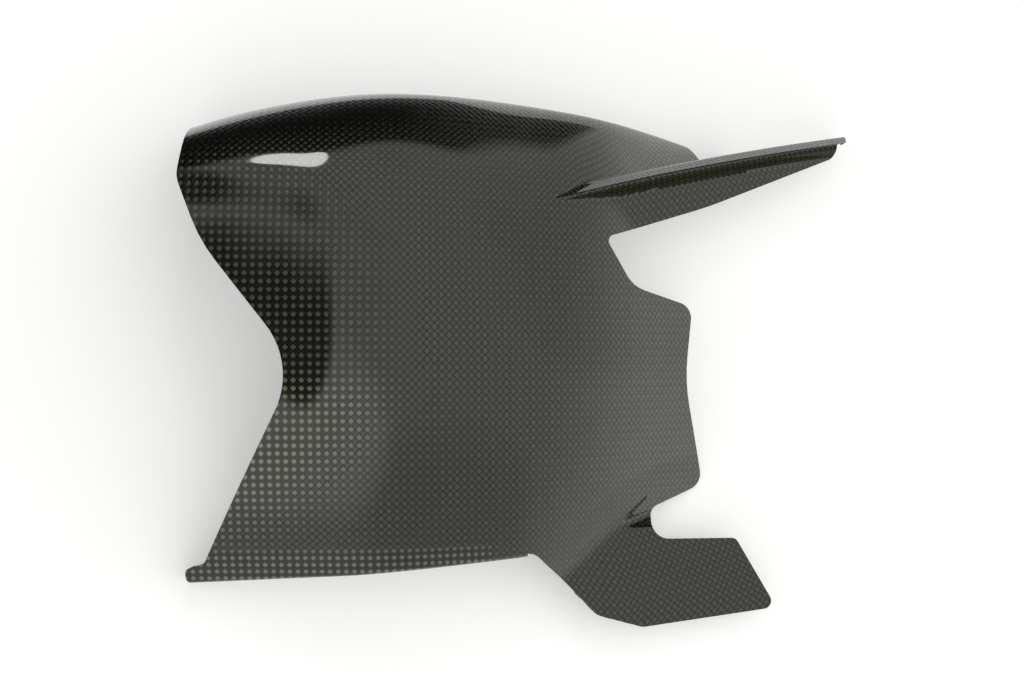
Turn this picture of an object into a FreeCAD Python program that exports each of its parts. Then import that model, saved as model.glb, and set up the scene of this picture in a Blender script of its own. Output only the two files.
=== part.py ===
import FreeCAD, Part
import math
import os

# Swingarm guard: one moulded carbon laminate shell, open underneath.
# While it is drawn, x runs from the arched front edge to the fin, y across the guard and
# z out of the ridge.  The finished shell is then laid down on its rim.

V = FreeCAD.Vector

# laminate
wall = 1.4                # thickness of the moulded laminate

# ridge line along the guard
ridge_y = -16.0           # where it lies across the guard
ridge_flat_end = -55.0    # the front part is level up to here
knee_radius = 45.0        # bend behind the level part
knee_angle = 20.0
back_radius = 200.0       # long curve of the falling rear half
rear_angle = 50.0         # it ends in a straight run at this slope

# upper side: a full shoulder in front that opens towards the rear
shoulder_y = 90.0         # outermost reach of the shoulder line
shoulder_x = -38.0        # where it reaches out most
shoulder_sweep_front = 205.0
shoulder_sweep_rear = 450.0
shoulder_fall = 47.0      # height of the shoulder below the ridge
shoulder_fall_rear = 38.0
fullness_rear = 1.4       # exponent of the shoulder's curve far behind
fullness_gain = 0.6       # what the exponent gains at fullness_x
fullness_x = -40.0
fullness_run = 45.0

# lower side: a shallow slope down to the folded edge
slope_reach = 64.0        # distance from the ridge at which the falls are measured
slope_fall = 18.0
slope_fall_rear = 27.0    # the slope steepens towards the tab
steepen_x = 24.0
steepen_run = 12.0

# lip folded under the lower edge
lip_depth = 14.0
fold_radius = 2.4         # outside radius of the fold

# bonding tab, a flat plate
tab_x = 44.0              # a point of its plane
tab_y = -76.0
tab_z = -75.5
tab_slope = 0.45
tab_cant = 0.10
tab_inner_y = -70.0       # its plane ends here
tab_ramp = 55.0           # and falls at this angle into the skin

# fin: a flat blade with a hollow rib along its upper edge
blade_x = 37.0
blade_z = -70.0
blade_slope = 0.67
rib_x = (12.0, 32.0, 52.0, 73.0, 94.0, 122.0, 137.0)
rib_height = (2.5, 5.2, 7.0, 7.2, 7.0, 6.4, 6.0)
rib_y = 51.2              # crest line at the first station
rib_heading = 0.28        # its sideways run per length there
rib_bow = 0.00043         # and how the run fades
rib_radius = 3.0
rib_root = 2.0            # hollow at the foot of the rib
rib_skirt = 16.0          # depth of the rib's far wall
fin_inner_y = 30.0        # the blade's plane is drawn from here outwards
rib_wall_angle = 66.0

# how the shell lies on its rim
rest_pitch = 20.4
rest_roll = 9.6
rest_depth = 82.0         # the rim plane lies this far under the working origin

# trimmed outline: corner x, corner y, corner radius
outline = [
    (-109.0, 112.0, 0.0),
    (-115.8, 57.0, 10.0),      # upper front corner
    (-107.0, 34.5, 60.0),
    (-73.6, -8.0, 28.0),       # waist of the arched front edge
    (-107.5, -77.5, 2.0),
    (-114.5, -80.0, 2.0),      # hook at the end of the lip
    (-114.5, -85.0, 3.0),
    (-55.0, -82.2, 200.0),     # folded lower edge
    (8.0, -77.5, 6.0),
    (31.5, -101.5, 8.0),       # tab
    (49.0, -106.8, 5.0),
    (101.5, -102.0, 3.0),
    (85.5, -75.0, 3.0),
    (52.5, -74.2, 7.0),        # round notch behind the tab
    (52.5, -63.0, 4.0),
    (73.5, -55.0, 6.0),        # rear flare
    (65.5, -15.0, 60.0),
    (69.0, 13.2, 6.0),
    (45.0, 20.5, 12.0),        # notch under the fin
    (34.5, 38.5, 2.5),
    (75.0, 51.5, 150.0),       # lower edge of the blade
    (128.5, 73.2, 4.5),
    (128.5, 78.0, 1.0),
    (132.8, 79.0, 1.0),        # the rib's far wall runs on past the blade
    (132.8, 112.0, 0.0),
]

skin_stations = (-124.0, -100.0, -75.0, -55.0, -40.0, -15.0, 10.0, 35.0, 55.0, 75.0, 95.0)
skin_reach = 1.05 * max(-corner[1] for corner in outline)  # the slope runs past the trimmed edge
deep = -3.2 * rest_depth                                   # floor of the working solids
lip_start, lip_bend, lip_end = outline[6:9]                # corners of the folded edge


def ridge(x):
    """Height of the ridge at x and its slope."""
    if x <= ridge_flat_end:
        return 0.0, 0.0
    knee = math.radians(knee_angle)
    knee_end = ridge_flat_end + knee_radius * math.sin(knee)
    if x <= knee_end:
        turn = math.asin((x - ridge_flat_end) / knee_radius)
        return -knee_radius * (1.0 - math.cos(turn)), math.tan(turn)
    rear = math.radians(rear_angle)
    curve_end = knee_end + back_radius * (math.sin(rear) - math.sin(knee))
    turn = math.asin(math.sin(knee) + (min(x, curve_end) - knee_end) / back_radius)
    fall = knee_radius * (1.0 - math.cos(knee))
    fall += back_radius * (math.cos(knee) - math.cos(turn))
    fall += max(x - curve_end, 0.0) * math.tan(rear)
    return -fall, math.tan(turn)


def skin_section(x, inset):
    """Points of the skin across the guard at x, moved inwards by inset."""
    height, slope = ridge(x)
    sweep = shoulder_sweep_front if x < shoulder_x else shoulder_sweep_rear
    reach = shoulder_y - (x - shoulder_x) ** 2 / (2.0 * sweep) - ridge_y
    power = 2.0 / (fullness_rear + fullness_gain * math.exp((fullness_x - x) / fullness_run))
    steep = 0.5 + 0.5 * math.tanh((x - steepen_x) / steepen_run)
    fall = slope_fall + (slope_fall_rear - slope_fall) * steep
    shoulder = shoulder_fall + (shoulder_fall_rear - shoulder_fall) * steep
    points = []
    for part in (1.0, 0.85, 0.7, 0.55, 0.4, 0.25, 0.1):
        y = part * (skin_reach + ridge_y)
        points.append((ridge_y - y, height - fall * (y / slope_reach) ** 2))
    for angle in (18.0, 30.0, 42.0, 54.0, 66.0, 77.0, 85.0, 90.0):
        a = math.radians(angle)
        y = ridge_y + reach * math.sin(a) ** power
        drop = 1.0 - max(math.cos(a), 0.0) ** power
        points.append((y, height - shoulder * drop))
    moved = []
    depth = inset * math.sqrt(1.0 + slope ** 2)
    for i, (y, z) in enumerate(points):
        before = points[max(i - 1, 0)]
        after = points[min(i + 1, len(points) - 1)]
        run = after[0] - before[0]
        rise = after[1] - before[1]
        if i == len(points) - 1:
            run = 0.0
            rise = -1.0
        size = math.hypot(run, rise)
        if rise < -4.0 * run:
            depth = inset
        moved.append(V(x, y + depth * rise / size, z - depth * run / size))
    return moved


def skin_solid(inset):
    """Everything under the skin, down to the working floor."""
    wires = []
    for x in skin_stations:
        points = skin_section(x, inset)
        curve = Part.BSplineCurve()
        curve.interpolate(points)
        low_end = V(x, points[-1].y, deep)
        low_start = V(x, points[0].y, deep)
        edges = [
            curve.toShape(),
            Part.makeLine(points[-1], low_end),
            Part.makeLine(low_end, low_start),
            Part.makeLine(low_start, points[0]),
        ]
        wires.append(Part.Wire(edges))
    return Part.makeLoft(wires, True, False)


def tab_height(x, y):
    """Height of the tab's plane."""
    return tab_z - tab_slope * (x - tab_x) - tab_cant * (y - tab_y)


def tab_solid(inset):
    """Everything under the tab's plane and its inner ramp, down to the working floor."""
    drop = inset * math.sqrt(1.0 + tab_slope ** 2 + tab_cant ** 2)
    ramp = math.radians(tab_ramp)
    inner_y = tab_inner_y - inset * math.tan(ramp / 2.0)
    front = lip_end[0] + wall
    rear = 1.1 * max(corner[0] for corner in outline[9:13])
    top = []
    base = []
    for x, y in ((front, -skin_reach), (rear, -skin_reach), (rear, inner_y), (front, inner_y)):
        z = tab_height(x, y) - drop
        run = (z - deep) / math.tan(ramp) if y == inner_y else 0.0
        top.append(V(x, y, z))
        base.append(V(x, y + run, deep))
    top.append(top[0])
    base.append(base[0])
    return Part.makeLoft([Part.makePolygon(base), Part.makePolygon(top)], True, True)


def fin_section(x, height, inset):
    """Closed profile of the fin at x: blade, near wall, round crest and far wall."""
    drop = inset * math.sqrt(1.0 + blade_slope ** 2)
    blade = blade_z - blade_slope * (x - blade_x)
    along = x - rib_x[0]
    crest_y = rib_y + rib_heading * along - rib_bow * along ** 2
    radius = rib_radius - inset
    middle = V(x, crest_y, blade + height - rib_radius)
    lean = math.radians(rib_wall_angle)

    def on_crest(angle):
        return middle + V(0.0, math.cos(angle), math.sin(angle)) * radius

    near = on_crest(math.pi / 2.0 + lean)
    foot_z = blade - drop
    rise = near.z - foot_z
    foot = V(x, near.y - rise / math.tan(lean), foot_z)
    up = V(0.0, math.cos(lean), math.sin(lean))
    bend = min((rib_root + inset) * math.tan(lean / 2.0), 0.8 * rise / math.sin(lean))
    foot_radius = bend / math.tan(lean / 2.0)
    before = foot - V(0.0, bend, 0.0)
    after = foot + up * bend
    heart = before + V(0.0, 0.0, foot_radius)
    hollow = heart + (foot - heart).normalize() * foot_radius
    far = on_crest(0.0)
    start = V(x, fin_inner_y, foot_z)
    low_far = V(x, far.y, deep)
    low_start = V(x, start.y, deep)
    return Part.Wire([
        Part.makeLine(start, before),
        Part.Arc(before, hollow, after).toShape(),
        Part.makeLine(after, near),
        Part.Arc(near, on_crest((math.pi / 2.0 + lean) / 2.0), far).toShape(),
        Part.makeLine(far, low_far),
        Part.makeLine(low_far, low_start),
        Part.makeLine(low_start, start),
    ])


def fin_solid(inset):
    """Everything under the fin, down to the working floor."""
    sections = [fin_section(x, height, inset) for x, height in zip(rib_x, rib_height)]
    return Part.makeLoft(sections, True, True)


def rounded_wire(corners, z):
    """Closed outline through the corners, each rounded by its own radius."""
    edges = []
    ends = []
    count = len(corners)
    for i, (x, y, radius) in enumerate(corners):
        here = V(x, y, z)
        back = V(corners[i - 1][0] - x, corners[i - 1][1] - y, 0.0).normalize()
        ahead = corners[(i + 1) % count]
        on = V(ahead[0] - x, ahead[1] - y, 0.0).normalize()
        if radius == 0.0:
            ends.append((here, here, None))
            continue
        half = back.getAngle(on) / 2.0
        setback = radius / math.tan(half)
        bisector = (back + on).normalize()
        middle = here + bisector * (radius / math.sin(half) - radius)
        ends.append((here + back * setback, here + on * setback, middle))
    for i, (start, stop, middle) in enumerate(ends):
        if middle is not None:
            edges.append(Part.Arc(start, middle, stop).toShape())
        following = ends[(i + 1) % count][0]
        edges.append(Part.makeLine(stop, following))
    return Part.Wire(edges)


def prism(corners):
    """Upright block inside an outline."""
    face = Part.Face(rounded_wire(corners, deep))
    return face.extrude(V(0.0, 0.0, -2.0 * deep))


def fold_y(x):
    """Where the folded edge lies across the guard, without the rounding of its bend."""
    a, b = (lip_start, lip_bend) if x < lip_bend[0] else (lip_bend, lip_end)
    return a[1] + (b[1] - a[1]) * (x - a[0]) / (b[0] - a[0])


def folded_skin(inset):
    """The skin's solid with its lower edge turned down in front of the tab."""
    skin = skin_solid(inset)
    front, rear = skin_stations[0] - 1.0, skin_stations[-1] + 1.0
    upper_side = prism([
        (front, fold_y(front) + inset, 0.0),
        (lip_bend[0], lip_bend[1] + inset, lip_bend[2]),
        (rear, fold_y(rear) + inset, 0.0),
        (rear, skin_reach, 0.0),
        (front, skin_reach, 0.0),
    ])
    folded = skin.common(upper_side)
    edges = []
    for edge in folded.Edges:
        middle = edge.valueAt((edge.FirstParameter + edge.LastParameter) / 2.0)
        on_fold = abs(middle.y - inset - fold_y(middle.x)) < 0.5
        ends = [vertex.Point for vertex in edge.Vertexes]
        if on_fold and middle.z > deep / 2.0 and abs(ends[0].x - ends[-1].x) > wall:
            edges.append(edge)
    folded = folded.makeFillet(fold_radius - inset, edges)
    size = 4.0 * skin_reach
    behind = Part.makeBox(size, size, size, V(lip_end[0], -size / 2.0, -size / 2.0))
    return folded.cut(behind).fuse(skin.common(behind))


def trim_block():
    """Upright block to which the moulding is trimmed, held just clear of the folded edge."""
    clear = fold_radius / 10.0
    folded = (lip_start, lip_bend, lip_end)
    return prism([(x, y - clear, r) if (x, y, r) in folded else (x, y, r) for x, y, r in outline])


def under_lip(skin):
    """Room under the lip, which ends one lip depth below the skin."""
    front = skin_stations[0]
    strip = [
        (front, fold_y(front) + 2.0 * wall, 0.0),
        (front, fold_y(front) - wall, 0.0),
        (lip_bend[0], lip_bend[1] - wall, lip_bend[2]),
        (lip_end[0], lip_end[1] - wall, 0.0),
        (lip_end[0], lip_end[1] + 2.0 * wall, 0.0),
        (lip_bend[0], lip_bend[1] + 2.0 * wall, lip_bend[2]),
    ]
    lowered = skin.copy()
    lowered.translate(V(0.0, 0.0, -lip_depth))
    return prism(strip).common(lowered)


def guard():
    """The whole shell, laid on its rim with the origin under its middle."""
    skin = folded_skin(0.0)
    outer = skin.fuse(tab_solid(0.0)).fuse(fin_solid(0.0))
    inner = folded_skin(wall).fuse(tab_solid(wall)).fuse(fin_solid(wall))
    under_rib = fin_solid(-wall)
    under_rib.translate(V(0.0, 0.0, -rib_skirt - wall))
    shell = outer.cut(inner).cut(under_rib).cut(under_lip(skin_solid(0.0)))
    shell = shell.common(trim_block())
    shell.rotate(V(0.0, 0.0, 0.0), V(0.0, 1.0, 0.0), -rest_pitch)
    shell.rotate(V(0.0, 0.0, 0.0), V(1.0, 0.0, 0.0), rest_roll)
    size = 6.0 * skin_reach
    ground = Part.makeBox(size, size, size, V(-size / 2.0, -size / 2.0, -rest_depth - size))
    shell = shell.cut(ground)
    points = shell.tessellate(0.05)[0]
    middle_x = (min(p.x for p in points) + max(p.x for p in points)) / 2.0
    middle_y = (min(p.y for p in points) + max(p.y for p in points)) / 2.0
    shell.translate(V(-middle_x, -middle_y, rest_depth))
    return shell


os.makedirs("parts", exist_ok=True)
guard().exportStep("parts/swingarm_guard.step")
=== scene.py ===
"""Studio scene of a moulded carbon swingarm guard that lies on white paper."""

import logging
import math
from dataclasses import dataclass, field
from enum import Enum

import bmesh
import bpy
import numpy as np
from mathutils import Matrix, Vector


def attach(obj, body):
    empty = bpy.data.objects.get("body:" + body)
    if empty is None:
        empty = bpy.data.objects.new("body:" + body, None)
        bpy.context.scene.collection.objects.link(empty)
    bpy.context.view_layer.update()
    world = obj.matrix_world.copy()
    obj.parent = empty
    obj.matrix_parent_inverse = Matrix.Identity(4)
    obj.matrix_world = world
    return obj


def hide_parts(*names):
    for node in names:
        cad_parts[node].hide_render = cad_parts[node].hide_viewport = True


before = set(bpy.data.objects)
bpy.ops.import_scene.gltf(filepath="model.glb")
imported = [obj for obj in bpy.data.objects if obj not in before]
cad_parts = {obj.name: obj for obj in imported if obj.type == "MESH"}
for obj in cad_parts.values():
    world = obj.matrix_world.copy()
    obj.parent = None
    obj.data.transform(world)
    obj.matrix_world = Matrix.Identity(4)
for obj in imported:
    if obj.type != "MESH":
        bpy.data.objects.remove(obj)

LOG = logging.getLogger("guard")
MM = 0.001
NODE = "swingarm_guard"
WHITE = (1.0, 1.0, 1.0, 1.0)
Colour = tuple[float, float, float]
Term = float | tuple[float, ...] | bpy.types.NodeSocket


class Side(Enum):
    """Material slots of the shell, in their order on the mesh."""

    OUTER = 0
    INNER = 1
    EDGE = 2
    # Slot of the rib's near wall, which carries painted shade.
    RIB_WALL_SHADE = 3


def natural_spline(knots: np.ndarray, values: np.ndarray, at: np.ndarray) -> np.ndarray:
    """Smooth curve through values at knots.

    Args:
        knots: rising parameters, one for each row of values.
        values: rows of numbers to pass through.
        at: parameters at which the curve is read.

    Returns:
        One row of numbers for each parameter in at.
    """
    count = len(knots)
    gap = np.diff(knots)
    system = np.eye(count)
    right = np.zeros_like(values)
    for i in range(1, count - 1):
        system[i, i - 1:i + 2] = (gap[i - 1], 2.0 * (gap[i - 1] + gap[i]), gap[i])
        right[i] = 6.0 * ((values[i + 1] - values[i]) / gap[i] - (values[i] - values[i - 1]) / gap[i - 1])
    bend = np.linalg.solve(system, right)
    k = np.clip(np.searchsorted(knots, at) - 1, 0, count - 2)
    h = gap[k][:, None]
    a = (knots[k + 1] - at)[:, None] / h
    b = 1.0 - a
    curve = a * values[k] + b * values[k + 1]
    return curve + ((a ** 3 - a) * bend[k] + (b ** 3 - b) * bend[k + 1]) * h ** 2 / 6.0


def soft_max(first: np.ndarray, second: np.ndarray, blend: float) -> np.ndarray:
    """Higher of two heights, with the crease between them rounded over blend millimetres."""
    near = np.maximum(blend - np.abs(first - second), 0.0) / blend
    return np.maximum(first, second) + near ** 2 * blend / 4.0


def resample(line: np.ndarray, count: int) -> tuple[np.ndarray, np.ndarray]:
    """Points at even steps along a polyline.

    Args:
        line: points of the polyline.
        count: number of steps.

    Returns:
        The points, and their distance along the line.
    """
    step = np.linalg.norm(np.diff(line, axis=0), axis=1)
    length = np.concatenate([[0.0], np.cumsum(step)])
    at = np.linspace(0.0, length[-1], count + 1)
    return np.stack([np.interp(at, length, line[:, i]) for i in range(line.shape[1])], axis=1), at


@dataclass(frozen=True)
class RestPose:
    """How the guard, drawn facing the camera, is laid down on its rim."""

    pitch: float = 20.4
    roll: float = 9.6
    move: tuple[float, float, float] = (-33.9172, -4.3821, 82.0)

    def matrix(self) -> Matrix:
        """Transform from the drawing, in millimetres, to the part's frame, in metres."""
        roll = Matrix.Rotation(math.radians(self.roll), 4, "X")
        pitch = Matrix.Rotation(math.radians(-self.pitch), 4, "Y")
        return Matrix.Scale(MM, 4) @ Matrix.Translation(self.move) @ (roll @ pitch)

    def ground(self, x: np.ndarray, y: np.ndarray, below: float = 0.0) -> np.ndarray:
        """Height of the paper, in the drawing, under x and y."""
        row = self.matrix()[2]
        return (-below * MM - row[3] - row[0] * x - row[1] * y) / row[2]


@dataclass(frozen=True)
class Skin:
    """Main skin: a level front that falls away behind a knee, with a full upper shoulder."""

    ridge_y: float = -16.0
    flat_end: float = -55.0
    knee_radius: float = 45.0
    knee_angle: float = 20.0
    back_radius: float = 200.0
    rear_angle: float = 50.0
    shoulder_y: float = 90.0
    shoulder_x: float = -38.0
    sweep_front: float = 205.0
    sweep_rear: float = 450.0
    shoulder_fall: float = 47.0
    shoulder_fall_rear: float = 38.0
    fullness_rear: float = 1.4
    fullness_gain: float = 0.6
    fullness_x: float = -40.0
    fullness_run: float = 45.0
    slope_reach: float = 64.0
    slope_fall: float = 18.0
    slope_fall_rear: float = 27.0
    steepen_x: float = 24.0
    steepen_run: float = 12.0
    drawn_reach: float = 112.0
    stations: tuple[float, ...] = (
        -124.0, -100.0, -75.0, -55.0, -40.0, -15.0, 10.0, 35.0, 55.0, 75.0, 95.0, 115.0, 140.0)
    slope_parts: tuple[float, ...] = (1.0, 0.85, 0.7, 0.55, 0.4, 0.25, 0.1)
    shoulder_turns: tuple[float, ...] = (18.0, 30.0, 42.0, 54.0, 66.0, 77.0, 85.0, 90.0)

    def ridge(self, x: float) -> float:
        """Height of the ridge at x."""
        if x <= self.flat_end:
            return 0.0
        knee = math.radians(self.knee_angle)
        knee_end = self.flat_end + self.knee_radius * math.sin(knee)
        if x <= knee_end:
            turn = math.asin((x - self.flat_end) / self.knee_radius)
            return -self.knee_radius * (1.0 - math.cos(turn))
        rear = math.radians(self.rear_angle)
        curve_end = knee_end + self.back_radius * (math.sin(rear) - math.sin(knee))
        turn = math.asin(math.sin(knee) + (min(x, curve_end) - knee_end) / self.back_radius)
        fall = self.knee_radius * (1.0 - math.cos(knee))
        fall += self.back_radius * (math.cos(knee) - math.cos(turn))
        return -fall - max(x - curve_end, 0.0) * math.tan(rear)

    def section(self, x: float) -> list[tuple[float, float]]:
        """Points across the skin at a station, from the lower side to the shoulder."""
        height = self.ridge(x)
        sweep = self.sweep_front if x < self.shoulder_x else self.sweep_rear
        reach = self.shoulder_y - (x - self.shoulder_x) ** 2 / (2.0 * sweep) - self.ridge_y
        fullness = self.fullness_gain * math.exp((self.fullness_x - x) / self.fullness_run)
        power = 2.0 / (self.fullness_rear + fullness)
        steep = 0.5 + 0.5 * math.tanh((x - self.steepen_x) / self.steepen_run)
        fall = self.slope_fall + (self.slope_fall_rear - self.slope_fall) * steep
        shoulder = self.shoulder_fall + (self.shoulder_fall_rear - self.shoulder_fall) * steep
        points = []
        for part in self.slope_parts:
            y = part * (self.drawn_reach + self.ridge_y)
            points.append((self.ridge_y - y, height - fall * (y / self.slope_reach) ** 2))
        for turn in self.shoulder_turns:
            a = math.radians(turn)
            drop = 1.0 - max(math.cos(a), 0.0) ** power
            points.append((self.ridge_y + reach * math.sin(a) ** power, height - shoulder * drop))
        return points

    def curves(self, x: np.ndarray, count: int = 420) -> np.ndarray:
        """Fine curves across the skin, one for each x, as arrays of y and z."""
        rows = np.array([self.section(s) for s in self.stations])
        along = natural_spline(np.array(self.stations), rows.reshape(len(rows), -1), x).reshape(len(x), -1, 2)
        chord = np.linalg.norm(np.diff(along, axis=1), axis=2).mean(axis=0)
        knots = np.concatenate([[0.0], np.cumsum(chord)])
        flat = along.transpose(1, 0, 2).reshape(len(knots), -1)
        fine = natural_spline(knots, flat, np.linspace(0.0, knots[-1], count))
        return fine.reshape(count, len(x), 2).transpose(1, 0, 2)


@dataclass(frozen=True)
class Tab:
    """Flat bonding tab that runs out of the lower side."""

    x: float = 44.0
    y: float = -76.0
    z: float = -75.5
    slope: float = 0.45
    cant: float = 0.10
    inner_y: float = -70.0
    ramp: float = 55.0
    bend: float = 3.0

    def height(self, x: float, y: np.ndarray) -> np.ndarray:
        """Height of the tab's plane, and of the ramp behind its inner edge."""
        plane = self.z - self.slope * (x - self.x) - self.cant * (np.minimum(y, self.inner_y) - self.y)
        return plane - np.maximum(y - self.inner_y, 0.0) * math.tan(math.radians(self.ramp))


@dataclass(frozen=True)
class Fin:
    """Flat blade with a hollow rib along its upper edge."""

    blade_x: float = 37.0
    blade_z: float = -70.0
    blade_slope: float = 0.67
    rib_x: tuple[float, ...] = (12.0, 32.0, 52.0, 73.0, 94.0, 122.0, 137.0)
    rib_height: tuple[float, ...] = (4.4, 6.3, 7.0, 7.2, 7.0, 6.4, 6.0)
    rib_y: float = 51.2
    heading: float = 0.28
    bow: float = 0.00043
    reach: float = 3.0
    root: float = 0.8
    crest_round: float = 0.9
    far_run: float = 3.1
    far_angle: float = 60.0
    skirt: float = 16.0
    inner_y: float = 30.0
    wall_angle: float = 68.0
    # The next two pick the faces of the rib's near wall that get the painted shade.
    painted_shade_lean: float = 0.2
    painted_shade_run: float = 10.0
    crease: float = 2.0

    def crest(self, x: np.ndarray) -> np.ndarray:
        """Where the crest of the rib lies across the guard."""
        along = x - self.rib_x[0]
        return self.rib_y + self.heading * along - self.bow * np.maximum(along, 0.0) ** 2

    def blade(self, x: float) -> float:
        """Height of the blade."""
        return self.blade_z - self.blade_slope * (x - self.blade_x)

    def profile(self, x: float) -> np.ndarray:
        """Points across the fin at x: blade, hollow root, near wall, round crest and leaning far wall."""
        height = natural_spline(np.array(self.rib_x), np.array(self.rib_height)[:, None], np.array([x]))[0, 0]
        blade = self.blade(x)
        edge = float(self.crest(np.array(x))) + self.reach
        near, far = math.radians(self.wall_angle), math.radians(self.far_angle)
        top = edge - self.far_run - self.crest_round * math.sin(far)
        middle = np.array([top, blade + height - self.crest_round])
        turn = np.linspace(math.pi / 2.0 + near, math.pi / 2.0 - far, 24)
        arc = middle + self.crest_round * np.stack([np.cos(turn), np.sin(turn)], axis=1)
        rise = arc[0, 1] - blade
        foot = arc[0, 0] - rise / math.tan(near)
        bend = min(self.root * math.tan(near / 2.0), 0.8 * rise / math.sin(near))
        hollow = bend / math.tan(near / 2.0)
        sweep = np.linspace(0.0, near, 14)
        root_z = blade + hollow * (1.0 - np.cos(sweep))
        root = np.stack([foot - bend + hollow * np.sin(sweep), root_z], axis=1)
        end = [[edge, arc[-1, 1] - self.far_run * math.tan(far)]]
        return np.concatenate([[[self.inner_y, blade]], root, arc, end])


@dataclass(frozen=True)
class TrimLine:
    """Outline to which the moulding is trimmed, as corner x, corner y and corner radius."""

    corners: tuple[tuple[float, float, float], ...] = (
        (-109.0, 112.0, 0.0),
        (-115.8, 57.0, 10.0),
        (-107.0, 34.5, 60.0),
        (-73.6, -8.0, 28.0),
        (-107.5, -77.5, 2.0),
        (-114.5, -80.0, 2.0),
        (-114.5, -83.8, 1.5),
        (-55.0, -81.0, 200.0),
        (8.0, -76.3, 6.0),
        (31.5, -101.5, 8.0),
        (49.0, -106.8, 5.0),
        (101.5, -102.0, 3.0),
        (85.5, -75.0, 3.0),
        (52.5, -74.2, 7.0),
        (52.5, -63.0, 4.0),
        (73.5, -55.0, 6.0),
        (65.5, -15.0, 60.0),
        (69.0, 13.2, 6.0),
        (45.0, 20.5, 12.0),
        (34.5, 38.5, 2.5),
        (75.0, 51.5, 150.0),
        (128.5, 73.2, 4.5),
        (128.5, 78.0, 1.0),
        (132.8, 79.0, 1.0),
        (132.8, 112.0, 0.0),
    )
    step: float = 6.0
    cell: float = 4.0
    snap: float = 1e-4

    def line(self) -> np.ndarray:
        """Closed polyline with its corners rounded."""
        points = []
        count = len(self.corners)
        for i, (x, y, radius) in enumerate(self.corners):
            here = np.array([x, y])
            if radius == 0.0:
                points.append(here)
                continue
            back = np.array(self.corners[i - 1][:2]) - here
            ahead = np.array(self.corners[(i + 1) % count][:2]) - here
            back /= np.linalg.norm(back)
            ahead /= np.linalg.norm(ahead)
            half = math.acos(np.clip(back @ ahead, -1.0, 1.0)) / 2.0
            middle = here + (back + ahead) / np.linalg.norm(back + ahead) * radius / math.sin(half)
            start = here + back * radius / math.tan(half) - middle
            turn = math.pi - 2.0 * half
            sign = 1.0 if back[0] * ahead[1] - back[1] * ahead[0] < 0.0 else -1.0
            steps = max(2, math.ceil(math.degrees(turn) / self.step))
            for k in range(steps + 1):
                a = sign * turn * k / steps
                spin = np.array([[math.cos(a), -math.sin(a)], [math.sin(a), math.cos(a)]])
                points.append(middle + spin @ start)
        return np.array(points)

    def inside(self, points: np.ndarray) -> np.ndarray:
        """Which points, seen along the drawing's z, lie inside the outline."""
        line = self.line()
        result = np.zeros(len(points), bool)
        for a, b in zip(line, np.roll(line, -1, axis=0)):
            if a[1] == b[1]:
                continue
            crosses = (a[1] > points[:, 1]) != (b[1] > points[:, 1])
            at = a[0] + (points[:, 1] - a[1]) * (b[0] - a[0]) / (b[1] - a[1])
            result ^= crosses & (points[:, 0] < at)
        return result

    def cut(self, bm: bmesh.types.BMesh) -> None:
        """Cuts the sheet along the outline and removes what lies outside it."""
        cells: dict[tuple[int, int], list] = {}

        def keep(face: bmesh.types.BMFace) -> None:
            xs = [v.co.x for v in face.verts]
            ys = [v.co.y for v in face.verts]
            for i in range(int(min(xs) // self.cell), int(max(xs) // self.cell) + 1):
                for j in range(int(min(ys) // self.cell), int(max(ys) // self.cell) + 1):
                    cells.setdefault((i, j), []).append(face)

        for face in bm.faces:
            keep(face)
        line = self.line()
        for a, b in zip(line, np.roll(line, -1, axis=0)):
            run = b - a
            length = float(np.linalg.norm(run))
            if length < 1e-6:
                continue
            near = {}
            for t in np.linspace(0.0, 1.0, int(length / self.cell * 3.0) + 2):
                p = a + run * t
                for di in (-1, 0, 1):
                    for dj in (-1, 0, 1):
                        spot = (int(p[0] // self.cell) + di, int(p[1] // self.cell) + dj)
                        near.update(dict.fromkeys(cells.get(spot, ())))
            normal = Vector((-run[1] / length, run[0] / length, 0.0))
            along = Vector((run[0] / length, run[1] / length, 0.0))
            start = Vector((a[0], a[1], 0.0))
            crossed = []
            for face in near:
                if not face.is_valid:
                    continue
                sides = [(v.co - start).dot(normal) for v in face.verts]
                runs = [(v.co - start).dot(along) for v in face.verts]
                beside = min(sides) < -self.snap and max(sides) > self.snap
                if beside and max(runs) > -self.snap and min(runs) < length + self.snap:
                    crossed.append(face)
            if not crossed:
                continue
            geom = dict.fromkeys(crossed)
            for face in crossed:
                geom.update(dict.fromkeys([*face.edges, *face.verts]))
            done = bmesh.ops.bisect_plane(
                bm, geom=list(geom), dist=self.snap, plane_co=start, plane_no=normal)
            for item in done["geom"]:
                if isinstance(item, bmesh.types.BMFace):
                    keep(item)
        centres = np.array([f.calc_center_median() for f in bm.faces])
        outside = ~self.inside(centres)
        bmesh.ops.delete(bm, geom=[f for f, out in zip(list(bm.faces), outside) if out], context="FACES")


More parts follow.
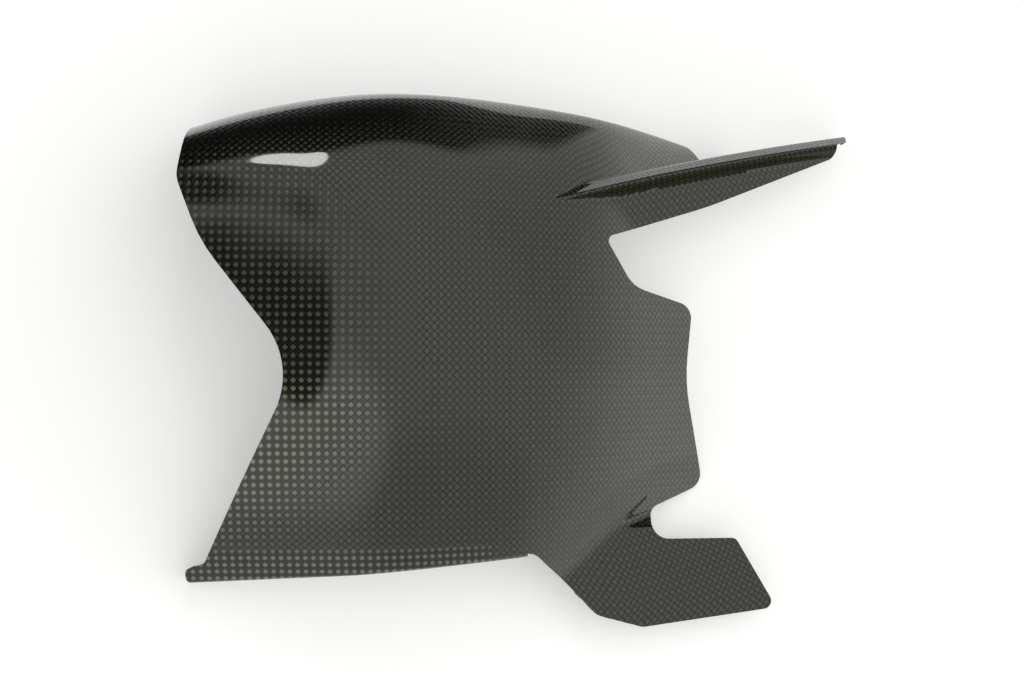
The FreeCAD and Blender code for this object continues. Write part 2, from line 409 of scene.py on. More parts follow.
@dataclass(frozen=True)
class Lip:
    """Edge folded down along the lower side."""

    start: int = 6
    end_x: float = 6.0
    upper_y: float = -70.0
    near: float = 1.2
    depth: float = 13.0
    fold: float = 2.4
    fade: float = 26.0
    fade_past: float = 2.0
    least: float = 0.05
    fold_steps: int = 6
    wall_steps: int = 6

    def add(self, bm: bmesh.types.BMesh, trim: TrimLine, weave: bmesh.types.BMLayerItem) -> None:
        """Extrudes the lower edge round the fold and down.

        Args:
            bm: the trimmed sheet, in the drawing's millimetres.
            trim: the outline, whose lower edge is folded.
            weave: cloth coordinates of the sheet's points.
        """
        low = [Vector((c[0], c[1], 0.0)) for c in trim.corners[self.start:self.start + 3]]
        rim = [e for e in bm.edges if e.is_boundary and all(self._on(v.co, low) for v in e.verts)]
        bm.normal_update()
        out = {v: self._outward(v) for e in rim for v in e.verts}
        for step in range(self.fold_steps + self.wall_steps):
            turn = (step + 0.5) / self.fold_steps
            made = bmesh.ops.extrude_edge_only(bm, edges=rim)
            old = {v for e in rim for v in e.verts}
            rim = [g for g in made["geom"] if isinstance(g, bmesh.types.BMEdge)
                   and not any(v in old for v in g.verts)]
            fresh = {}
            for v in dict.fromkeys(v for e in rim for v in e.verts):
                parent = next(e.other_vert(v) for e in v.link_edges if e.other_vert(v) in out)
                direction, slope = out[parent]
                fresh[v] = (direction, slope)
                share = min(max((self.end_x + self.fade_past - v.co.x) / self.fade, self.least), 1.0)
                if step < self.fold_steps:
                    length = self.fold * (math.pi / 2.0 - slope) / self.fold_steps
                    angle = slope + (math.pi / 2.0 - slope) * turn
                else:
                    length = share * self.depth / self.wall_steps
                    angle = math.pi / 2.0
                v.co += direction * math.cos(angle) * length - Vector((0.0, 0.0, math.sin(angle) * length))
                v[weave] = parent[weave] - Vector((0.0, length, 0.0))
            out = fresh

    def _on(self, p: Vector, low: list[Vector]) -> bool:
        """Whether a point lies on the lower edge."""
        if p.x > self.end_x or p.y > self.upper_y:
            return False
        a, b = (low[0], low[1]) if p.x < low[1].x else (low[1], low[2])
        at = a.y + (b.y - a.y) * (p.x - a.x) / (b.x - a.x)
        return abs(p.y - at) < self.near

    def _outward(self, v: bmesh.types.BMVert) -> tuple[Vector, float]:
        """Direction away from the sheet, seen from above, and the sheet's fall along it."""
        n = v.normal
        direction = Vector((0.0, -1.0, 0.0))
        return direction, math.atan2(n.dot(direction), n.z)


@dataclass
class GuardShell:
    """The one-piece shell, with its skin, tab, fin and lip."""

    name: str = "guard_shell"
    wall: float = 1.4
    front_x: float = -120.0
    rear_x: float = 135.0
    rows: int = 236
    low_columns: int = 128
    rib_columns: int = 40
    high_columns: int = 64
    cloth_turn: tuple[float, float] = (25.0, 45.0)
    cloth_over: tuple[float, float] = (20.0, 34.0)
    cloth_crest: float = 82.0
    cloth_even: float = 10.0
    cloth_slope: float = 1.6
    tab_x: float = -4.0
    tab_side: float = -40.0
    rib_band: float = 12.0
    drawn: float = 112.0
    drawn_step: float = 0.4
    far_least: float = 0.5
    below: float = 5.0
    joined: float = 0.3
    merge: float = 0.004
    merge_rim: float = 0.12
    merge_thin: float = 0.02
    pose: RestPose = field(default_factory=RestPose)
    skin: Skin = field(default_factory=Skin)
    tab: Tab = field(default_factory=Tab)
    fin: Fin = field(default_factory=Fin)
    lip: Lip = field(default_factory=Lip)
    trim: TrimLine = field(default_factory=TrimLine)

    def heights(self, x: float, curve: np.ndarray, y: np.ndarray, rib: np.ndarray) -> np.ndarray:
        """Height of the outer face at x over an array of y.

        Args:
            x: place along the guard.
            curve: fine curve of the skin there.
            y: places across the guard.
            rib: profile of the fin there.

        Returns:
            Heights of the higher of skin, tab and fin, with soft creases.
        """
        z = np.interp(y, curve[:, 0], curve[:, 1])
        if x > self.tab_x:
            z = np.where(y < self.tab_side, soft_max(z, self.tab.height(x, y), self.tab.bend), z)
        if x > self.fin.rib_x[0]:
            on = (y >= self.fin.inner_y) & (y <= rib[-1, 0])
            blade = np.interp(y, rib[:, 0], rib[:, 1])
            z = np.where(on, soft_max(z, blade, self.fin.crease), z)
        return z

    def section(self, x: float, curve: np.ndarray) -> tuple[np.ndarray, np.ndarray]:
        """Even points across the outer face at x.

        Args:
            x: place along the guard.
            curve: fine curve of the skin there.

        Returns:
            Points as y, z and cloth distance, and whether each has a real face after it.
        """
        rib = self.fin.profile(x)
        crest = float(self.fin.crest(np.array(x)))
        far = crest + self.fin.reach
        band = crest - self.rib_band
        reach = curve[-1, 0]
        even = np.arange(-self.drawn, self.drawn, self.drawn_step)
        every = np.unique(np.concatenate([curve[:, 0], rib[:, 0], even]))
        low_y = np.concatenate([every[every < band], [band]])
        rib_y = np.concatenate([[band], every[(every > band) & (every < far)], [far]])
        low = np.stack([low_y, self.heights(x, curve, low_y, rib)], axis=1)
        mid = np.stack([rib_y, self.heights(x, curve, rib_y, rib)], axis=1)
        behind = np.interp(far, curve[:, 0], curve[:, 1]) if far < reach else -1e3
        top = mid[-1, 1]
        base = max(behind, top - self.fin.skirt)
        if x > self.fin.rib_x[0] and base < top:
            mid = np.concatenate([mid, [[far, base]]])
        real = far < reach - self.far_least
        high_y = np.array([far, far])
        if real:
            high_y = np.concatenate([[far], every[(every > far) & (every < reach)], [reach]])
        high = np.stack([high_y, np.interp(high_y, curve[:, 0], curve[:, 1])], axis=1)
        ground = float(self.pose.ground(np.array(x), np.array(high[-1, 0]), self.below))
        floor = min(ground, high[-1, 1] - self.far_least)
        high = np.concatenate([high, [[high[-1, 0], floor]]])
        parts = []
        cloth = 0.0
        for line, count in ((low, self.low_columns), (mid, self.rib_columns), (high, self.high_columns)):
            points, at = resample(line, count)
            parts.append(np.column_stack([points, at + cloth]))
            cloth += at[-1]
        result = np.concatenate(parts)
        join = self.low_columns + self.rib_columns + 1
        low_side = result[:self.low_columns]
        result[:, 2] -= np.interp(self.skin.ridge_y, low_side[:, 0], low_side[:, 2])
        ahead = np.interp(x, self.cloth_turn, (0.0, 1.0))
        over = np.interp(result[:, 0], self.cloth_over, (0.0, 1.0))
        at_crest = np.interp(crest, result[:join - 1, 0], result[:join - 1, 2])
        result[:, 2] += ahead * over * (self.cloth_crest - at_crest)
        solid = np.ones(len(result), bool)
        solid[join] = abs(parts[1][-1, 1] - parts[2][0, 1]) < self.joined
        solid[join + 1:] = real
        return result, solid

    def cloth_along(self, x: np.ndarray, sections: np.ndarray) -> np.ndarray:
        """Distance along the cloth, from the level front, of each point of the sections."""
        y = np.arange(-self.drawn, 100.0, 1.0)
        field_z = np.array([np.interp(y, s[:, 0], s[:, 1]) for s in sections])
        half = round(3.0 * self.cloth_even)
        even = np.exp(-0.5 * (np.arange(-half, half + 1) / self.cloth_even) ** 2)
        padded = np.pad(field_z, ((0, 0), (half, half)), mode="edge")
        field_z = np.array([np.convolve(row, even / even.sum(), mode="valid") for row in padded])
        slope = np.clip(np.gradient(field_z, x, axis=0), -self.cloth_slope, self.cloth_slope)
        run = np.sqrt(1.0 + slope ** 2)
        step = (run[1:] + run[:-1]) / 2.0 * np.diff(x)[:, None]
        length = np.concatenate([np.zeros((1, len(y))), np.cumsum(step, axis=0)])
        start = np.argmin(np.abs(x - self.skin.flat_end))
        length -= length[start] - x[start]
        return np.array([np.interp(s[:, 0], y, row) for s, row in zip(sections, length)])

    def sheet(self) -> bmesh.types.BMesh:
        """Outer face as one trimmed sheet, in the drawing's millimetres."""
        x = np.linspace(self.front_x, self.rear_x, self.rows + 1)
        curves = self.skin.curves(x)
        made = [self.section(a, c) for a, c in zip(x, curves)]
        sections = np.array([m[0] for m in made])
        solid = np.array([m[1] for m in made])
        along = self.cloth_along(x, sections)
        columns = sections.shape[1] - 1
        bm = bmesh.new()
        bmesh.ops.create_grid(bm, x_segments=self.rows, y_segments=columns, size=0.5)
        weave = bm.verts.layers.float_vector.new("cloth")
        place = bm.verts.layers.int.new("place")
        for v in bm.verts:
            i = round((v.co.x + 0.5) * self.rows)
            j = round((v.co.y + 0.5) * columns)
            y, z, across = sections[i, j]
            v.co = (x[i], y, z)
            v[weave] = (along[i, j], across, 0.0)
            v[place] = i * (columns + 1) + j
        bad = []
        for f in bm.faces:
            spots = [divmod(v[place], columns + 1) for v in f.verts]
            before = min(j for _, j in spots)
            if not all(solid[i, before + 1] for i, _ in spots):
                bad.append(f)
        bmesh.ops.delete(bm, geom=bad, context="FACES")
        bmesh.ops.remove_doubles(bm, verts=bm.verts, dist=self.merge)
        self.trim.cut(bm)
        rim = [v for v in bm.verts if v.is_boundary]
        bmesh.ops.remove_doubles(bm, verts=rim, dist=self.merge_rim)
        bmesh.ops.dissolve_degenerate(bm, dist=self.merge_thin, edges=bm.edges)
        self.lip.add(bm, self.trim, weave)
        return bm

    def build(self) -> bpy.types.Object:
        """The finished shell, laid on the paper.

        Returns:
            The object, at the origin, with its place in its mesh.
        """
        bm = self.sheet()
        weave = bm.verts.layers.float_vector["cloth"]
        bmesh.ops.transform(bm, matrix=self.pose.matrix(), verts=bm.verts)
        lay = bm.loops.layers.uv.new("cloth_lay")
        for f in bm.faces:
            f.smooth = True
            for loop in f.loops:
                loop[lay].uv = loop.vert[weave].xy * MM
        bm.normal_update()
        if sum(f.normal.z * f.calc_area() for f in bm.faces) < 0.0:
            bmesh.ops.reverse_faces(bm, faces=bm.faces)
        mesh = bpy.data.meshes.new(self.name)
        bm.to_mesh(mesh)
        bm.free()
        shell = bpy.data.objects.new(self.name, mesh)
        bpy.context.scene.collection.objects.link(shell)
        return shell

    def thicken(self, shell: bpy.types.Object) -> None:
        """Gives the sheet its wall, cuts its rim level with the paper and keeps its cut edges sharp."""
        solidify = shell.modifiers.new("wall", "SOLIDIFY")
        solidify.thickness = self.wall * MM
        solidify.offset = -1.0
        solidify.use_even_offset = True
        solidify.thickness_clamp = 1.0
        solidify.use_rim = True
        solidify.material_offset = Side.INNER.value
        solidify.material_offset_rim = Side.EDGE.value
        graph = bpy.context.evaluated_depsgraph_get()
        solid = bpy.data.meshes.new_from_object(shell.evaluated_get(graph))
        shell.modifiers.clear()
        bm = bmesh.new()
        bm.from_mesh(solid)
        geom = list(bm.verts) + list(bm.edges) + list(bm.faces)
        cut = bmesh.ops.bisect_plane(bm, geom=geom, dist=1e-6, plane_co=(0.0, 0.0, 0.0),
                                     plane_no=(0.0, 0.0, -1.0), clear_outer=True)
        rim = [g for g in cut["geom_cut"] if isinstance(g, bmesh.types.BMEdge)]
        filled = bmesh.ops.holes_fill(bm, edges=rim, sides=0)["faces"]
        for f in filled:
            f.material_index = Side.EDGE.value
            f.smooth = True
        # Paints shade on the rib's near wall by giving its faces their own slot.
        self.paint_rib_shade(bm)
        edges = [e for e in bm.edges if len(e.link_faces) == 2
                 and len({f.material_index for f in e.link_faces}) == 2
                 and Side.EDGE.value in {f.material_index for f in e.link_faces}]
        for e in edges:
            e.smooth = False
        bm.to_mesh(shell.data)
        bm.free()
        bpy.data.meshes.remove(solid)

    def paint_rib_shade(self, bm: bmesh.types.BMesh) -> None:
        """Sets the slot of the near wall of the rib, which carries painted shade: darker tones and little
        coat in place of the dark reflection there.

        Args:
            bm: the thickened shell, in the part's frame.
        """
        back = self.pose.matrix().inverted()
        across = self.pose.matrix().to_3x3().normalized().col[1]
        bm.normal_update()
        for f in bm.faces:
            if f.material_index != Side.OUTER.value or f.normal.dot(across) > -self.fin.painted_shade_lean:
                continue
            place = back @ f.calc_center_median()
            crest = float(self.fin.crest(np.array(place.x)))
            if place.x > self.fin.rib_x[0] and crest - self.fin.painted_shade_run < place.y < crest + self.fin.reach:
                f.material_index = Side.RIB_WALL_SHADE.value


class NodeBench:
    """Adds small nodes to a node tree. Numbers are set on their sockets, and sockets are linked."""

    def __init__(self, tree: bpy.types.NodeTree) -> None:
        """Keeps the tree."""
        self.tree = tree

    def feed(self, socket: bpy.types.NodeSocket, value: Term) -> None:
        """Links a socket to another one, or sets its value."""
        if isinstance(value, bpy.types.NodeSocket):
            self.tree.links.new(value, socket)
        else:
            socket.default_value = value

    def math(self, op: str, *values: Term) -> bpy.types.NodeSocket:
        """One math node."""
        node = self.tree.nodes.new("ShaderNodeMath")
        node.operation = op
        for socket, value in zip(node.inputs, values):
            self.feed(socket, value)
        return node.outputs[0]

    def mix(self, share: Term, first: Term, second: Term) -> bpy.types.NodeSocket:
        """Mix of two colours."""
        node = self.tree.nodes.new("ShaderNodeMix")
        node.data_type = "RGBA"
        for name, value in (("Factor", share), ("A", first), ("B", second)):
            self.feed(node.inputs[name], value)
        return node.outputs["Result"]

    def ramp(self, value: Term, low: float, high: float,
             start: float = 0.0, end: float = 1.0) -> bpy.types.NodeSocket:
        """Smooth step of a value.

        Args:
            value: the value to be read.
            low: value at which the step starts.
            high: value at which it ends.
            start: result below the step.
            end: result beyond it.

        Returns:
            The stepped value.
        """
        node = self.tree.nodes.new("ShaderNodeMapRange")
        node.interpolation_type = "SMOOTHSTEP"
        limits = {"Value": value, "From Min": low, "From Max": high, "To Min": start, "To Max": end}
        for name, limit in limits.items():
            self.feed(node.inputs[name], limit)
        return node.outputs["Result"]

    def split(self, vector: bpy.types.NodeSocket) -> tuple[bpy.types.NodeSocket, ...]:
        """The x, y and z of a vector."""
        node = self.tree.nodes.new("ShaderNodeSeparateXYZ")
        self.tree.links.new(vector, node.inputs[0])
        return tuple(node.outputs)

    def dot(self, ray: bpy.types.NodeSocket, axis: Vector) -> bpy.types.NodeSocket:
        """Part of a ray along an axis."""
        node = self.tree.nodes.new("ShaderNodeVectorMath")
        node.operation = "DOT_PRODUCT"
        self.tree.links.new(ray, node.inputs[0])
        node.inputs[1].default_value = axis
        return node.outputs["Value"]


@dataclass(frozen=True)
class CarbonFinish:
    """Laminate finish: tones of the two tow directions, lit and shade tones of the painted sheen, gloss and
    coat.
    """

    name: str
    lit: Colour
    shade: Colour
    warp: Colour
    weft: Colour
    gap: Colour
    metallic: float
    roughness: float
    coat: float
    coat_roughness: float
    bump: float
    specular: float = 0.5


@dataclass(frozen=True)
class ClothLay:
    """How the cloth lies, in millimetres and degrees, and where sheen of one tow direction is painted into
    the colour.
    """

    tow: float = 2.0
    turn: float = 45.0
    crown_side: float = 0.65
    crown_start: float = 0.1
    crown_full: float = 0.75
    # Painted sheen: a round patch, brighter on the lower side and running onto the lip, where the lit and
    # shade tones are painted in.
    painted_sheen_x: float = -120.0
    painted_sheen_y: float = 18.0
    painted_sheen_full: float = 58.0
    painted_sheen_end: float = 96.0
    low_start: float = 11.0
    low_full: float = -6.0
    low_gain: float = 2.2
    fold_start: float = -57.0
    fold_full: float = -61.0
    fold_end: float = 4.0
    fold_fade: float = -10.0


class WeaveGroup:
    """Shader node group of a plain weave, shared by the laminate finishes."""

    def __init__(self, lay: ClothLay) -> None:
        """Keeps how the cloth lies and builds the group."""
        self.lay = lay
        self.tree = bpy.data.node_groups.new("plain_weave", "ShaderNodeTree")
        self.bench = NodeBench(self.tree)
        face = self.tree.interface
        face.new_socket("Cloth", in_out="INPUT", socket_type="NodeSocketVector")
        for name in ("Lit", "Shade", "Warp", "Weft", "Gap"):
            face.new_socket(name, in_out="INPUT", socket_type="NodeSocketColor")
        face.new_socket("Color", in_out="OUTPUT", socket_type="NodeSocketColor")
        face.new_socket("Height", in_out="OUTPUT", socket_type="NodeSocketFloat")
        self._build()

    def _painted_sheen(self, cloth: bpy.types.NodeSocket) -> tuple[bpy.types.NodeSocket, bpy.types.NodeSocket]:
        """Mask of the painted sheen of one tow direction, and the painted gain of that sheen on the lower
        side.
        """
        lay, bench = self.lay, self.bench
        along, across, _ = bench.split(cloth)
        x = bench.math("SUBTRACT", along, lay.painted_sheen_x * MM)
        y = bench.math("SUBTRACT", across, lay.painted_sheen_y * MM)
        square = bench.math("ADD", bench.math("MULTIPLY", x, x), bench.math("MULTIPLY", y, y))
        away = bench.math("SQRT", square)
        near = bench.ramp(away, lay.painted_sheen_end * MM, lay.painted_sheen_full * MM)
        fold = bench.math("MULTIPLY", bench.ramp(across, lay.fold_start * MM, lay.fold_full * MM),
                          bench.ramp(along, lay.fold_end * MM, lay.fold_fade * MM))
        gain = bench.ramp(across, lay.low_start * MM, lay.low_full * MM, 1.0, lay.low_gain)
        return bench.math("MAXIMUM", near, fold), gain

    def _round(self, place: bpy.types.NodeSocket) -> bpy.types.NodeSocket:
        """Crown across a tow: one at its middle and nothing at its sides."""
        off = self.bench.math("SUBTRACT", self.bench.math("FRACT", place), 0.5)
        square = self.bench.math("MULTIPLY", off, off)
        return self.bench.math("SUBTRACT", 1.0, self.bench.math("MULTIPLY", square, 4.0))

    def _height(self, side: bpy.types.NodeSocket, end: bpy.types.NodeSocket) -> bpy.types.NodeSocket:
        """Height of a tow, from its crown across and its dive along."""
        share = self.lay.crown_side
        return self.bench.math("ADD", self.bench.math("MULTIPLY", side, share),
                               self.bench.math("MULTIPLY", end, 1.0 - share))

    def _build(self) -> None:
        """Draws the tows, their crowns and the gaps between them, and paints tow sheen and shade into one
        patch.
        """
        nodes, links, bench, lay = self.tree.nodes, self.tree.links, self.bench, self.lay
        inlet = nodes.new("NodeGroupInput")
        outlet = nodes.new("NodeGroupOutput")
        mapping = nodes.new("ShaderNodeMapping")
        mapping.vector_type = "POINT"
        mapping.inputs["Rotation"].default_value = (0.0, 0.0, math.radians(lay.turn))
        mapping.inputs["Scale"].default_value = (1.0 / (lay.tow * MM),) * 3
        links.new(inlet.outputs["Cloth"], mapping.inputs["Vector"])
        a, b, _ = bench.split(mapping.outputs["Vector"])
        cell = bench.math("ADD", bench.math("FLOOR", a), bench.math("FLOOR", b))
        weft = bench.math("GREATER_THAN", bench.math("FLOORED_MODULO", cell, 2.0), 0.5)
        round_a, round_b = self._round(a), self._round(b)
        warp_height = self._height(round_b, round_a)
        weft_height = self._height(round_a, round_b)
        over = bench.math("SUBTRACT", weft_height, warp_height)
        height = bench.math("MULTIPLY_ADD", over, weft, warp_height)
        crown = bench.ramp(bench.math("MULTIPLY", round_a, round_b), lay.crown_start, lay.crown_full)
        painted_sheen, gain = self._painted_sheen(inlet.outputs["Cloth"])
        tone = bench.mix(weft, inlet.outputs["Warp"], inlet.outputs["Weft"])
        plain = bench.mix(crown, inlet.outputs["Gap"], tone)
        bright = nodes.new("ShaderNodeVectorMath")
        bright.operation = "SCALE"
        links.new(inlet.outputs["Lit"], bright.inputs[0])
        links.new(gain, bright.inputs["Scale"])
        # Painted sheen: inside the patch the warp crowns take the lit tone and everything else the shade
        # tone.
        painted_sheen_dots = bench.mix(crown, inlet.outputs["Shade"], bright.outputs["Vector"])
        painted_sheen_tone = bench.mix(weft, painted_sheen_dots, inlet.outputs["Shade"])
        links.new(bench.mix(painted_sheen, plain, painted_sheen_tone), outlet.inputs["Color"])
        links.new(height, outlet.inputs["Height"])


class CarbonMaterial:
    """Material of one laminate finish."""

    def __init__(self, finish: CarbonFinish, weave: WeaveGroup) -> None:
        """Keeps the finish and the shared weave."""
        self.finish = finish
        self.weave = weave

    def build(self) -> bpy.types.Material:
        """The node material."""
        f = self.finish
        material = bpy.data.materials.new(f.name)
        material.use_nodes = True
        nodes, links = material.node_tree.nodes, material.node_tree.links
        shader = nodes["Principled BSDF"]
        shader.inputs["Metallic"].default_value = f.metallic
        shader.inputs["Roughness"].default_value = f.roughness
        shader.inputs["Specular IOR Level"].default_value = f.specular
        shader.inputs["Coat Weight"].default_value = f.coat
        shader.inputs["Coat Roughness"].default_value = f.coat_roughness
        lay = nodes.new("ShaderNodeUVMap")
        lay.uv_map = "cloth_lay"
        group = nodes.new("ShaderNodeGroup")
        group.node_tree = self.weave.tree
        links.new(lay.outputs["UV"], group.inputs["Cloth"])
        tones = {"Lit": f.lit, "Shade": f.shade, "Warp": f.warp, "Weft": f.weft, "Gap": f.gap}
        for name, tone in tones.items():
            group.inputs[name].default_value = (*tone, 1.0)
        links.new(group.outputs["Color"], shader.inputs["Base Color"])
        bump = nodes.new("ShaderNodeBump")
        bump.inputs["Strength"].default_value = 1.0
        bump.inputs["Distance"].default_value = f.bump * MM
        links.new(group.outputs["Height"], bump.inputs["Height"])
        links.new(bump.outputs["Normal"], shader.inputs["Normal"])
        return material


def toward(azimuth: float, elevation: float) -> Vector:
    """Unit vector from the guard, by degrees from +X and over the horizon."""
    a, e = math.radians(azimuth), math.radians(elevation)
    return Vector((math.cos(e) * math.cos(a), math.cos(e) * math.sin(a), math.sin(e)))


@dataclass(frozen=True)
class RoomPatch:
    """Round, soft-edged patch of the room, seen from the guard."""

    azimuth: float
    elevation: float
    radius: float
    edge: float
    level: float

    def mask(self, bench: NodeBench, ray: bpy.types.NodeSocket) -> bpy.types.NodeSocket:
        """Mask of the patch."""
        outer = math.radians(self.radius + self.edge)
        inner = math.radians(max(self.radius - self.edge, 0.0))
        near = bench.dot(ray, toward(self.azimuth, self.elevation))
        return bench.ramp(near, math.cos(outer), math.cos(inner))


@dataclass(frozen=True)
class DarkOval:
    """Dark oval round the camera, as offsets across the camera's view."""

    across: float = -0.2
    up: float = -0.12
    half_width: float = 0.06
    half_height: float = 0.47
    turn: float = -27.2
    soft: float = 0.35
    level: float = -0.97

    def mask(self, bench: NodeBench, ray: bpy.types.NodeSocket, pose: RestPose) -> bpy.types.NodeSocket:
        """Mask of the oval.

        Args:
            bench: nodes of the world.
            ray: direction of the light.
            pose: how the guard lies under the camera.

        Returns:
            One inside the oval and nothing outside it.
        """
        axes = pose.matrix().to_3x3().normalized()
        turn = Matrix.Rotation(math.radians(self.turn), 2).transposed()
        middle = turn @ Vector((self.across, self.up))
        squares = []
        for place, half, way in zip(middle, (self.half_width, self.half_height), turn):
            axis = axes.col[0] * way[0] + axes.col[1] * way[1]
            off = bench.math("DIVIDE", bench.math("SUBTRACT", bench.dot(ray, axis), place), half)
            squares.append(bench.math("MULTIPLY", off, off))
        reach = bench.math("SQRT", bench.math("ADD", *squares))
        return bench.ramp(reach, 1.0 + self.soft, 1.0 - self.soft)


@dataclass(frozen=True)
class DarkWall:
    """Dark wall beyond the far end of the table, with a sloping top, in degrees."""

    azimuth: float = 97.0
    half: float = 52.0
    edge: float = 3.0
    low: float = -30.0
    high: float = 42.0
    rise: float = 0.33
    level: float = -0.96

    def mask(self, bench: NodeBench, ray: bpy.types.NodeSocket) -> bpy.types.NodeSocket:
        """Mask of the wall."""
        x, y, z = bench.split(ray)
        off = bench.math("SUBTRACT", bench.math("ARCTAN2", y, x), math.radians(self.azimuth))
        side = bench.ramp(bench.math("ABSOLUTE", off), math.radians(self.half + self.edge),
                          math.radians(self.half - self.edge))
        over = bench.math("MULTIPLY_ADD", off, -self.rise, bench.math("ARCSINE", z))
        top = bench.ramp(over, math.radians(self.high + self.edge), math.radians(self.high - self.edge))
        foot = bench.ramp(z, math.sin(math.radians(self.low - self.edge)), math.sin(math.radians(self.low)))
        return bench.math("MULTIPLY", bench.math("MULTIPLY", side, top), foot)


@dataclass(frozen=True)
class Room:
    """Pale room round the table, with its dark and bright places."""

    pose: RestPose = field(default_factory=RestPose)
    oval: DarkOval = field(default_factory=DarkOval)
    wall: DarkWall = field(default_factory=DarkWall)
    level: float = 1.05
    least: float = 0.03
    tint: Colour = (0.97, 1.0, 0.92)
    patches: tuple[RoomPatch, ...] = (
        RoomPatch(134.0, 55.0, 10.0, 3.0, -0.88),
        RoomPatch(-128.0, 52.0, 24.0, 8.0, 0.45),
        RoomPatch(-65.0, 32.0, 24.0, 12.0, -0.2),
        RoomPatch(20.0, 20.0, 14.0, 12.0, -0.22),
        RoomPatch(2.0, 0.0, 14.0, 24.0, 0.25),
    )

    def build(self) -> bpy.types.World:
        """World whose light differs by direction and is white where the camera looks past the paper."""
        world = bpy.data.worlds.new("room")
        world.use_nodes = True
        bench = NodeBench(world.node_tree)
        back = bench.tree.nodes["Background"]
        ray = bench.tree.nodes.new("ShaderNodeTexCoord").outputs["Generated"]
        value = self.level
        for patch in self.patches:
            value = self._change(bench, value, patch.mask(bench, ray), patch.level)
        value = self._change(bench, value, self.wall.mask(bench, ray), self.wall.level)
        value = self._change(bench, value, self.oval.mask(bench, ray, self.pose), self.oval.level)
        value = bench.math("MAXIMUM", value, self.least)
        seen = bench.tree.nodes.new("ShaderNodeLightPath").outputs["Is Camera Ray"]
        bench.feed(back.inputs["Strength"], bench.math("MAXIMUM", value, seen))
        bench.feed(back.inputs["Color"], bench.mix(seen, (*self.tint, 1.0), WHITE))
        bpy.context.scene.world = world
        return world

    @staticmethod
    def _change(bench: NodeBench, value: Term, mask: bpy.types.NodeSocket,
                level: float) -> bpy.types.NodeSocket:
        """Value made brighter or darker by a share where the mask is set."""
        return bench.math("MULTIPLY", bench.math("MULTIPLY_ADD", mask, level, 1.0), value)


@dataclass(frozen=True)
class SoftLamp:
    """Soft oval lamp that looks at the guard, by its direction, distance, face and brightness."""

    name: str = "far_lamp"
    azimuth: float = 103.2
    elevation: float = 44.8
    away: float = 1.6
    width: float = 0.28
    height: float = 0.115
    turn: float = 52.0
    level: float = 12.0

    def build(self) -> bpy.types.Object:
        """The lamp, with its face turned to the guard."""
        light = bpy.data.lights.new(self.name, "AREA")
        light.shape = "ELLIPSE"
        light.size, light.size_y = self.width, self.height
        light.energy = self.level * math.pi * self.width * self.height * math.pi / 4.0
        lamp = bpy.data.objects.new(self.name, light)
        lamp.location = toward(self.azimuth, self.elevation) * self.away
        aim = (-lamp.location).to_track_quat("-Z", "Y").to_matrix()
        lamp.rotation_euler = (aim @ Matrix.Rotation(math.radians(self.turn), 3, "Z")).to_euler()
        bpy.context.scene.collection.objects.link(lamp)
        return lamp


@dataclass(frozen=True)
class Paper:
    """White paper under the guard, in metres, with a slanted far edge."""

    half: float = 0.75
    squares: int = 8
    slant_x: tuple[float, float] = (0.0, 0.375)
    slant_y: tuple[float, float] = (0.17, 0.6)
    tint: Colour = (0.965, 0.94, 0.99)
    roughness: float = 0.9
    specular: float = 0.1
    glow: float = 0.18
    glow_level: float = 1.8

    def build(self) -> bpy.types.Object:
        """The sheet of paper."""
        bm = bmesh.new()
        bmesh.ops.create_grid(bm, x_segments=self.squares, y_segments=self.squares, size=self.half)
        for v in bm.verts:
            v.co.y = min(v.co.y, np.interp(v.co.x, self.slant_x, self.slant_y))
        bmesh.ops.remove_doubles(bm, verts=bm.verts, dist=1e-6)
        mesh = bpy.data.meshes.new("paper")
        bm.to_mesh(mesh)
        bm.free()
        paper = bpy.data.objects.new("paper", mesh)
        bpy.context.scene.collection.objects.link(paper)
        mesh.materials.append(self.material())
        return paper

    def material(self) -> bpy.types.Material:
        """Matt white paper, paler where it is seen directly or as a mirror image."""
        material = bpy.data.materials.new("white_paper")
        material.use_nodes = True
        tree = material.node_tree
        bench = NodeBench(tree)
        shader = tree.nodes["Principled BSDF"]
        shader.inputs["Base Color"].default_value = (*self.tint, 1.0)
        shader.inputs["Roughness"].default_value = self.roughness
        shader.inputs["Specular IOR Level"].default_value = self.specular
        path = tree.nodes.new("ShaderNodeLightPath").outputs
        seen = bench.math("MAXIMUM", path["Is Camera Ray"], path["Is Glossy Ray"])
        seen = bench.math("MAXIMUM", seen, path["Is Transmission Ray"])
        glow = tree.nodes.new("ShaderNodeEmission")
        glow.inputs["Strength"].default_value = self.glow_level
        mix = tree.nodes.new("ShaderNodeMixShader")
        tree.links.new(bench.math("MULTIPLY", seen, self.glow), mix.inputs["Fac"])
        tree.links.new(shader.outputs["BSDF"], mix.inputs[1])
        tree.links.new(glow.outputs["Emission"], mix.inputs[2])
        tree.links.new(mix.outputs["Shader"], tree.nodes["Material Output"].inputs["Surface"])
        return material


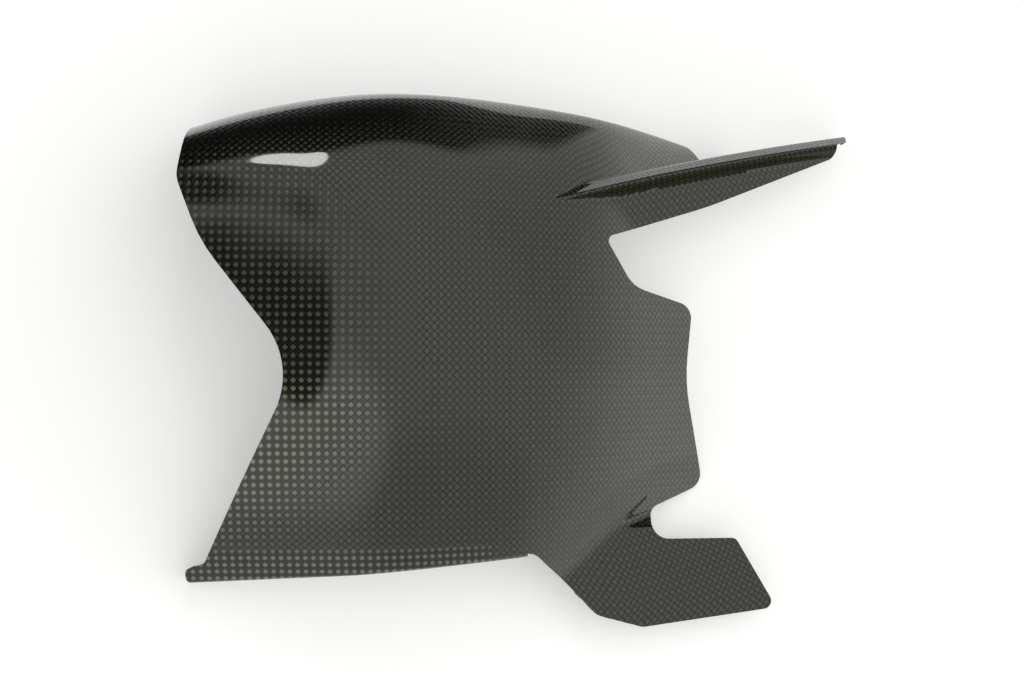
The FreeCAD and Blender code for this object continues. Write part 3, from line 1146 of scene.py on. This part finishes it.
@dataclass(frozen=True)
class Studio:
    """White paper, soft light and the camera above the guard."""

    pose: RestPose = field(default_factory=RestPose)
    paper: Paper = field(default_factory=Paper)
    lamp: SoftLamp = field(default_factory=SoftLamp)
    room: Room = field(default_factory=Room)
    camera_height: float = 808.0
    lens: float = 82.97
    sensor: float = 36.0

    def camera(self) -> bpy.types.Object:
        """Camera straight over the drawing's face."""
        data = bpy.data.cameras.new("camera")
        data.sensor_width = self.sensor
        data.lens = self.lens
        data.clip_start = 0.01
        camera = bpy.data.objects.new("camera", data)
        turn = self.pose.matrix().to_3x3().normalized()
        place = self.pose.matrix() @ Vector((0.0, 0.0, self.camera_height))
        camera.matrix_world = Matrix.Translation(place) @ turn.to_4x4()
        bpy.context.scene.collection.objects.link(camera)
        bpy.context.scene.camera = camera
        return camera

    def build(self) -> None:
        """Paper, lamp, room and camera."""
        self.paper.build()
        self.lamp.build()
        self.room.build()
        self.camera()
        bpy.context.scene.view_settings.view_transform = "Standard"


# In these finishes lit and shade are painted sheen and painted shade tones; warp, weft and gap are the
# weave's own tones.
OUTER_FINISH = CarbonFinish(
    "carbon_gloss", lit=(0.056, 0.059, 0.048), shade=(0.008, 0.0085, 0.0065), warp=(0.030, 0.032, 0.026),
    weft=(0.043, 0.046, 0.037), gap=(0.003, 0.003, 0.0025),
    metallic=1.0, roughness=0.32, coat=1.0, coat_roughness=0.045, bump=0.2)
INNER_FINISH = CarbonFinish(
    "carbon_inside", lit=(0.05, 0.052, 0.046), shade=(0.03, 0.031, 0.028), warp=(0.05, 0.052, 0.046),
    weft=(0.04, 0.042, 0.037), gap=(0.01, 0.01, 0.009),
    metallic=0.5, roughness=0.5, coat=0.25, coat_roughness=0.3, bump=0.2)
EDGE_FINISH = CarbonFinish(
    "carbon_cut_edge", lit=(0.09, 0.09, 0.085), shade=(0.07, 0.07, 0.066), warp=(0.09, 0.09, 0.085),
    weft=(0.07, 0.07, 0.066), gap=(0.03, 0.03, 0.03),
    metallic=0.0, roughness=0.5, coat=0.0, coat_roughness=0.3, bump=0.1)
# Painted shade: the rib's near wall gets darker tones and little coat, standing in for the dark reflection
# there.
RIB_PAINTED_SHADE = CarbonFinish(
    "carbon_rib_wall_painted_shade", lit=(0.032, 0.031, 0.015), shade=(0.012, 0.012, 0.006), warp=(0.014, 0.0135, 0.006),
    weft=(0.032, 0.031, 0.015), gap=(0.005, 0.005, 0.002),
    metallic=0.0, roughness=0.4, coat=0.2, coat_roughness=0.1, bump=0.05, specular=0.0)


def main() -> None:
    """Builds the shell, dresses it and lights it."""
    logging.basicConfig(level=logging.INFO, format="%(name)s: %(message)s")
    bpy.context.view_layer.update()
    guard = GuardShell()
    shell = guard.build()
    weave = WeaveGroup(ClothLay())
    for finish in (OUTER_FINISH, INNER_FINISH, EDGE_FINISH, RIB_PAINTED_SHADE):
        shell.data.materials.append(CarbonMaterial(finish, weave).build())
    guard.thicken(shell)
    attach(shell, "root")
    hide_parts(NODE)
    LOG.info("%s: %d faces", shell.name, len(shell.data.polygons))
    Studio().build()


if __name__ == "__main__":
    main()
